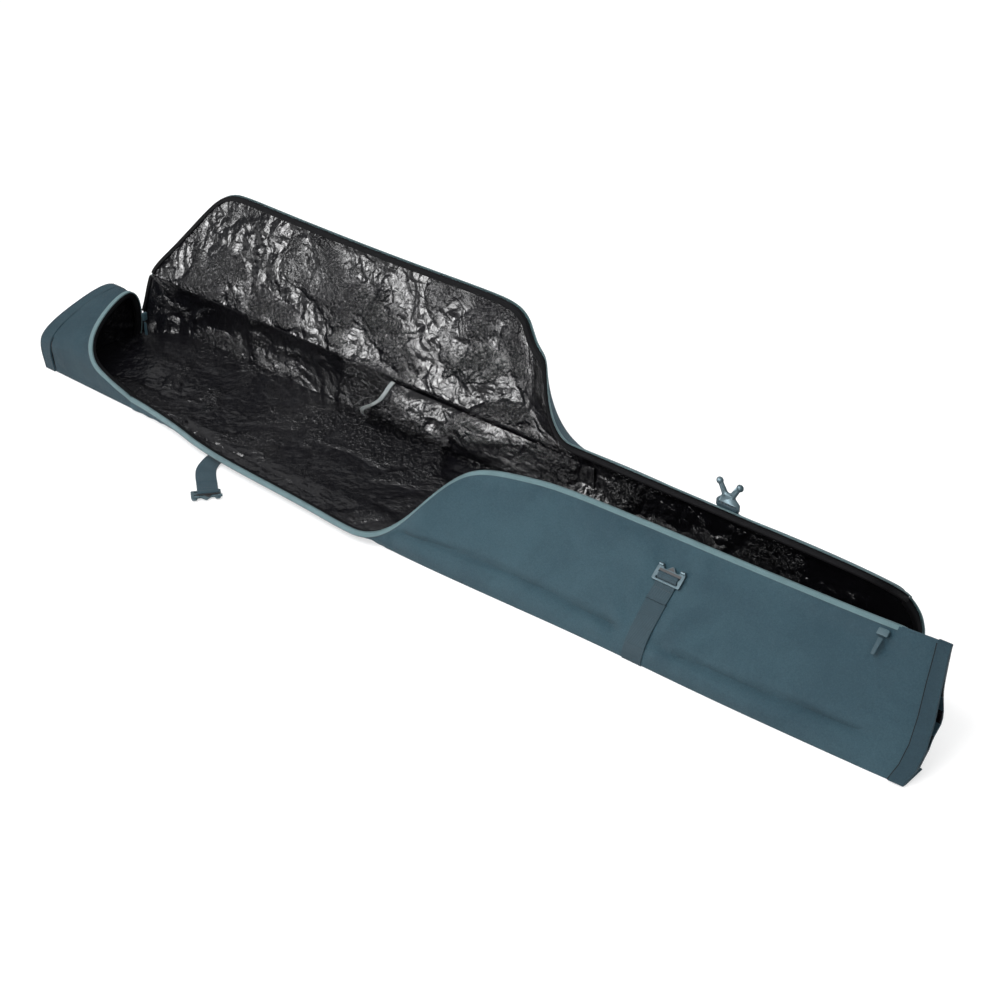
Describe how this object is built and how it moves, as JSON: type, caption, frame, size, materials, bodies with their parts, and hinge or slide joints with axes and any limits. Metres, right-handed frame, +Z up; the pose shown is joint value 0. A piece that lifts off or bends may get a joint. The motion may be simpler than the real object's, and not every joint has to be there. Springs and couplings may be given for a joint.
{
  "type": "ski bag",
  "caption": "Long padded fabric bag for skis, lying open: a hinged lid in a wide and a narrow part, a front flap, compression straps with buckles and hooks, and a pole sleeve.",
  "frame": {"origin": "on the floor under the middle of the bag's bottom panel", "axes": "+X along the bag to the tail end, +Y to the lid hinge at the back, +Z up"},
  "size_m": [1.92, 0.7052, 0.3101],
  "materials": {
    "outer_fabric": "matte woven",
    "hem": "matte woven",
    "foam": "matte",
    "liner": "crinkled, glossy",
    "binding": "ribbed",
    "elastic": "ribbed",
    "zipper": "ribbed",
    "slider_metal": "satin",
    "pull_cord": "matte",
    "webbing": "woven",
    "hardware": "anodised"
  },
  "bodies": {
    "bag": {"back_wall_foam": "foam", "back_wall_liner": "liner", "back_wall_shell": "outer_fabric", "bottom_foam": "foam", "bottom_liner": "liner", "bottom_shell": "outer_fabric", "flap_seam": "outer_fabric", "front_base_right": "webbing", "front_high_foam": "foam", "front_high_liner": "liner", "front_high_shell": "outer_fabric", "front_low_foam": "foam", "front_low_liner": "liner", "front_low_shell": "outer_fabric", "handle_anchors": "webbing", "hinge_seam": "outer_fabric", "left_hem": "hem", "left_hood": "outer_fabric", "pole_sleeve": "liner", "rear_strap_bases": "webbing", "right_hem": "hem", "right_tail": "outer_fabric", "rim_binding": "binding", "rim_coil": "zipper", "rim_tape": "zipper", "sleeve_elastic": "elastic"},
    "lid_wide": {"lid_shell": "outer_fabric", "lid_foam": "foam", "lid_liner": "liner", "lid_tape": "zipper", "lid_coil": "zipper", "lid_binding": "binding", "lid_twist": "outer_fabric"},
    "lid_strip": {"strip_shell": "outer_fabric", "strip_foam": "foam", "strip_liner": "liner", "strip_tape": "zipper", "strip_coil": "zipper", "strip_binding": "binding"},
    "front_flap": {"flap_shell": "outer_fabric", "flap_foam": "foam", "flap_liner": "liner", "flap_tape": "zipper", "flap_coil": "zipper", "front_base_left": "webbing", "flap_gussets": "outer_fabric"},
    "front_strap_right": {"front_strap_right": "webbing"},
    "front_buckle_right": {"front_buckle_right": "hardware"},
    "front_strap_left": {"front_strap_left": "webbing"},
    "front_buckle_left": {"front_buckle_left": "hardware"},
    "rear_strap_right": {"rear_strap_right": "webbing"},
    "rear_hook_right": {"rear_hook_right": "hardware"},
    "rear_strap_left": {"rear_strap_left": "webbing"},
    "rear_hook_left": {"rear_hook_left": "hardware"},
    "slider_right": {"slider_right": "slider_metal"},
    "pull_right": {"pull_right": "pull_cord"},
    "slider_left": {"slider_left": "slider_metal"},
    "pull_left": {"pull_left": "pull_cord"},
    "carry_handle": {"carry_handle": "webbing"}
  },
  "joints": [
    {"name": "lid_hinge", "type": "hinge", "parent": "bag", "child": "lid_wide", "pos_m": [0, 0.12, 0.115], "axis": [-1, 0, 0], "range_deg": [-110, 60]},
    {"name": "lid_strip_twist", "type": "hinge", "parent": "lid_wide", "child": "lid_strip", "pos_m": [0, 0.12, 0.115], "axis": [-1, 0, 0], "range_deg": [-46.64, 85.5], "deforming": ["lid_twist"]},
    {"name": "flap_hinge", "type": "hinge", "parent": "bag", "child": "front_flap", "pos_m": [0, -0.09, 0.006], "axis": [1, 0, 0], "range_deg": [-90, 0], "deforming": ["flap_gussets"]},
    {"name": "front_strap_right_swing", "type": "hinge", "parent": "bag", "child": "front_strap_right", "pos_m": [0.49, -0.1334, 0.04773], "axis": [1, 0, 0], "range_deg": [0, 130]},
    {"name": "front_buckle_right_pivot", "type": "hinge", "parent": "front_strap_right", "child": "front_buckle_right", "pos_m": [0.49, -0.07461, 0.10051], "axis": [1, 0, 0], "range_deg": [0, 80]},
    {"name": "front_strap_left_swing", "type": "hinge", "parent": "front_flap", "child": "front_strap_left", "pos_m": [-0.41121, -0.21762, 0.0011], "axis": [-0.6157, -0.788, 0], "range_deg": [0, 80]},
    {"name": "front_buckle_left_pivot", "type": "hinge", "parent": "front_strap_left", "child": "front_buckle_left", "pos_m": [-0.37181, -0.2484, 0.0019], "axis": [-0.6157, -0.788, 0], "range_deg": [0, 80]},
    {"name": "rear_strap_right_swing", "type": "hinge", "parent": "lid_strip", "child": "rear_strap_right", "pos_m": [0.525, 0.11714, 0.12543], "axis": [-1, 0, 0], "range_deg": [0, 45]},
    {"name": "rear_hook_right_pivot", "type": "hinge", "parent": "rear_strap_right", "child": "rear_hook_right", "pos_m": [0.525, 0.02658, 0.20416], "axis": [-1, 0, 0], "range_deg": [-50, 10]},
    {"name": "rear_strap_left_swing", "type": "hinge", "parent": "bag", "child": "rear_strap_left", "pos_m": [-0.49, 0.1385, 0.0015], "axis": [-1, 0, 0], "range_deg": [-75, 0]},
    {"name": "rear_hook_left_pivot", "type": "hinge", "parent": "rear_strap_left", "child": "rear_hook_left", "pos_m": [-0.49, 0.375, 0.0015], "axis": [1, 0, 0], "range_deg": [0, 70]},
    {"name": "slider_right_slide", "type": "slide", "parent": "bag", "child": "slider_right", "axis": [1, 0, 0], "range_m": [-0.56, 0]},
    {"name": "pull_right_swing", "type": "hinge", "parent": "slider_right", "child": "pull_right", "pos_m": [0.839, -0.02965, 0.14251], "axis": [-1, 0, 0], "range_deg": [0, 100]},
    {"name": "slider_left_slide", "type": "slide", "parent": "bag", "child": "slider_left", "axis": [0, -0.2402, 0.9707], "range_m": [0, 0.03]},
    {"name": "pull_left_swing", "type": "hinge", "parent": "slider_left", "child": "pull_left", "pos_m": [-0.8815, 0.051, 0.0535], "axis": [0, 1, 0], "range_deg": [-100, 0]},
    {"name": "carry_handle_swing", "type": "hinge", "parent": "bag", "child": "carry_handle", "pos_m": [0, 0.13015, 0.06038], "axis": [1, 0, 0], "range_deg": [0, 135]}
  ],
  "couplings": [
    {"joint": "lid_strip_twist", "follows": "lid_hinge", "ratio": -0.77727}
  ]
}
